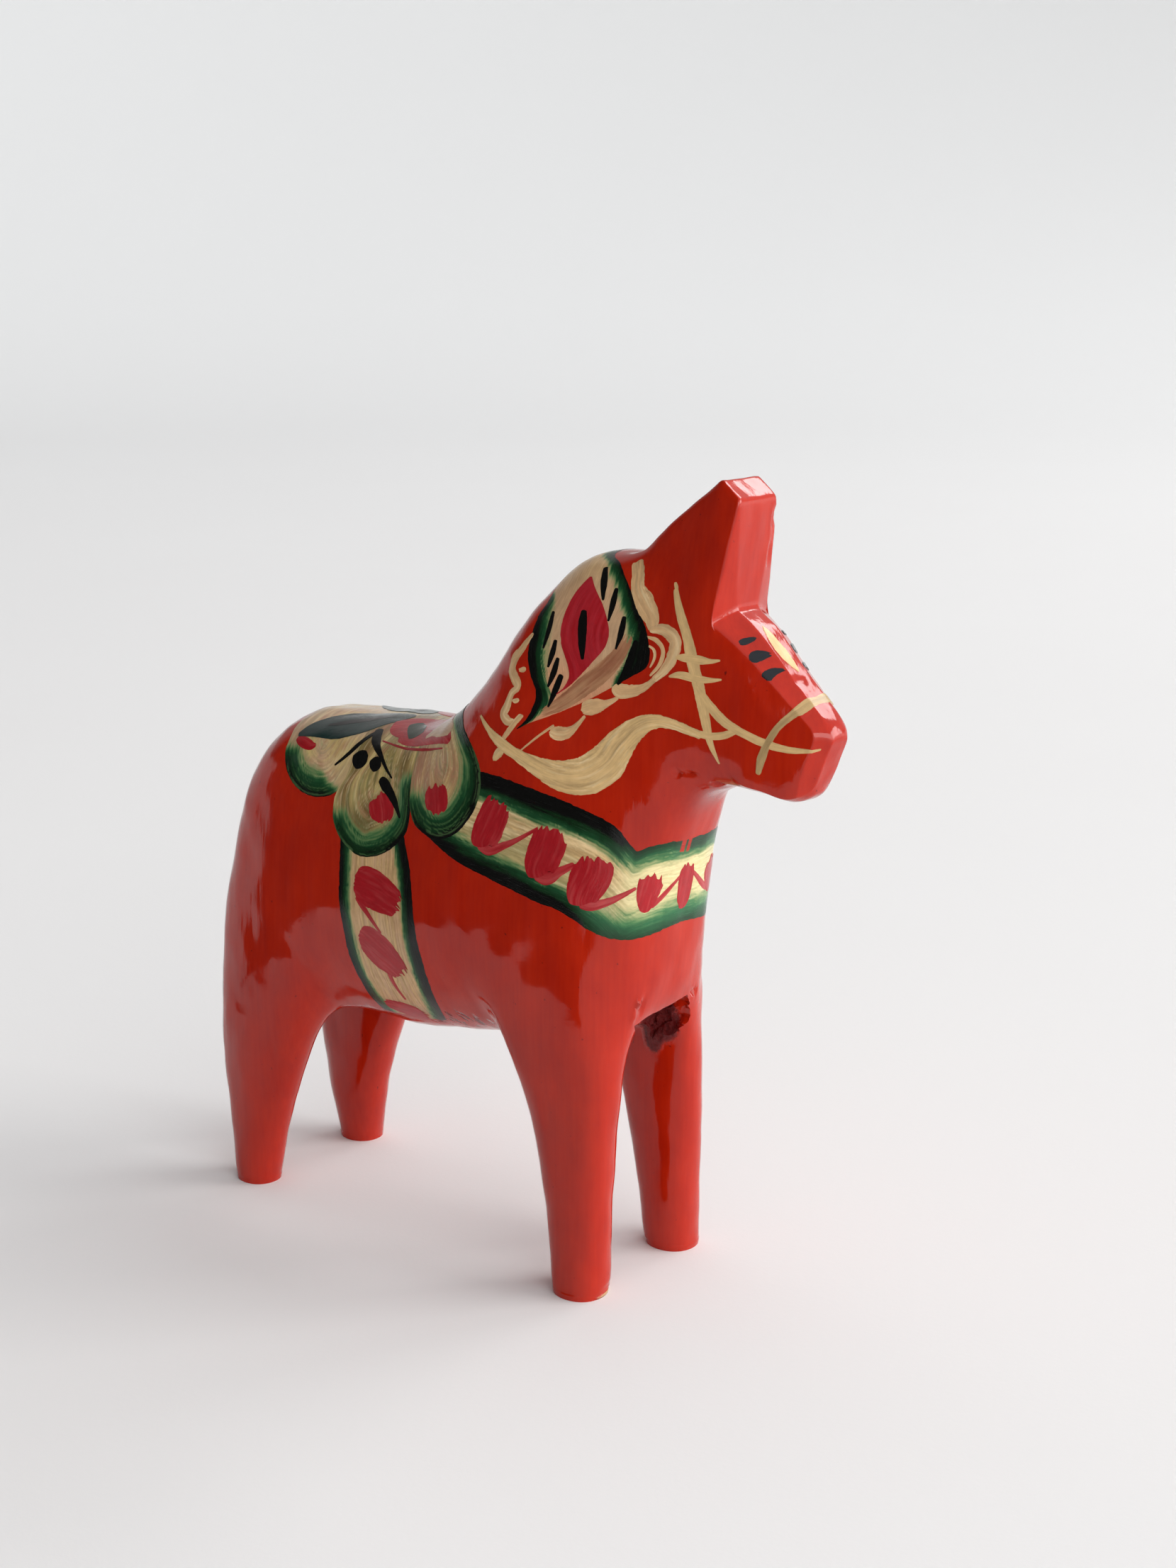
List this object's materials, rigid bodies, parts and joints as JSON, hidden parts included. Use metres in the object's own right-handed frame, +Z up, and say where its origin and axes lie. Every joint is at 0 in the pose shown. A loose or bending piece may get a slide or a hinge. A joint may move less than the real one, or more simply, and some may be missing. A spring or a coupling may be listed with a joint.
{
  "type": "painted wooden horse figurine",
  "caption": "Standing wooden horse carved from a solid block, glossy red, with a painted saddle, harness, bridle and mane.",
  "frame": {"origin": "the middle of the horse's length and width, on the surface that its feet stand on", "axes": "+Z up from the feet to the ears, +X towards the nose, +Y to the horse's left"},
  "size_m": [0.123, 0.0378, 0.13],
  "materials": {
    "red_enamel": "pine under glossy orange-red enamel, clear varnish over it",
    "cream_paint": "thin brushed oil paint under clear varnish",
    "green_paint": "thin brushed oil paint under clear varnish",
    "crimson_paint": "thin brushed oil paint under clear varnish",
    "black_paint": "thin brushed oil paint under clear varnish"
  },
  "bodies": {
    "root": {"breast_band": "cream_paint", "breast_stroke_1_left": "crimson_paint", "breast_stroke_1_right": "crimson_paint", "breast_stroke_2_left": "crimson_paint", "breast_stroke_2_right": "crimson_paint", "breast_stroke_3_left": "crimson_paint", "breast_stroke_3_right": "crimson_paint", "breast_stroke_4_left": "crimson_paint", "breast_stroke_4_right": "crimson_paint", "bridle_left": "cream_paint", "bridle_right": "cream_paint", "carved_body": "red_enamel", "cheek_cross_1_left": "cream_paint", "cheek_cross_1_right": "cream_paint", "cheek_cross_2_left": "cream_paint", "cheek_cross_2_right": "cream_paint", "cheek_strap_left": "cream_paint", "cheek_strap_right": "cream_paint", "eye_stroke_1_left": "black_paint", "eye_stroke_1_right": "black_paint", "eye_stroke_2_left": "black_paint", "eye_stroke_2_right": "black_paint", "eye_stroke_3_left": "black_paint", "eye_stroke_3_right": "black_paint", "forehead_mark": "cream_paint", "front_petal_left": "green_paint", "front_petal_right": "green_paint", "girth_band_left": "cream_paint", "girth_band_right": "cream_paint", "girth_stroke_1_left": "crimson_paint", "girth_stroke_1_right": "crimson_paint", "girth_stroke_2_left": "crimson_paint", "girth_stroke_2_right": "crimson_paint", "mane_flower_left": "crimson_paint", "mane_flower_right": "crimson_paint", "mane_panel_left": "cream_paint", "mane_panel_right": "cream_paint", "mane_scroll_back_left": "cream_paint", "mane_scroll_back_right": "cream_paint", "mane_scroll_front_left": "cream_paint", "mane_scroll_front_right": "cream_paint", "nose_band": "cream_paint", "rein_left": "cream_paint", "rein_right": "cream_paint", "saddle_dot_1_left": "crimson_paint", "saddle_dot_1_right": "crimson_paint", "saddle_dot_2_left": "crimson_paint", "saddle_dot_2_right": "crimson_paint", "saddle_flower": "crimson_paint", "saddle_leaf": "green_paint", "saddle_petals": "green_paint"}
  },
  "joints": []
}
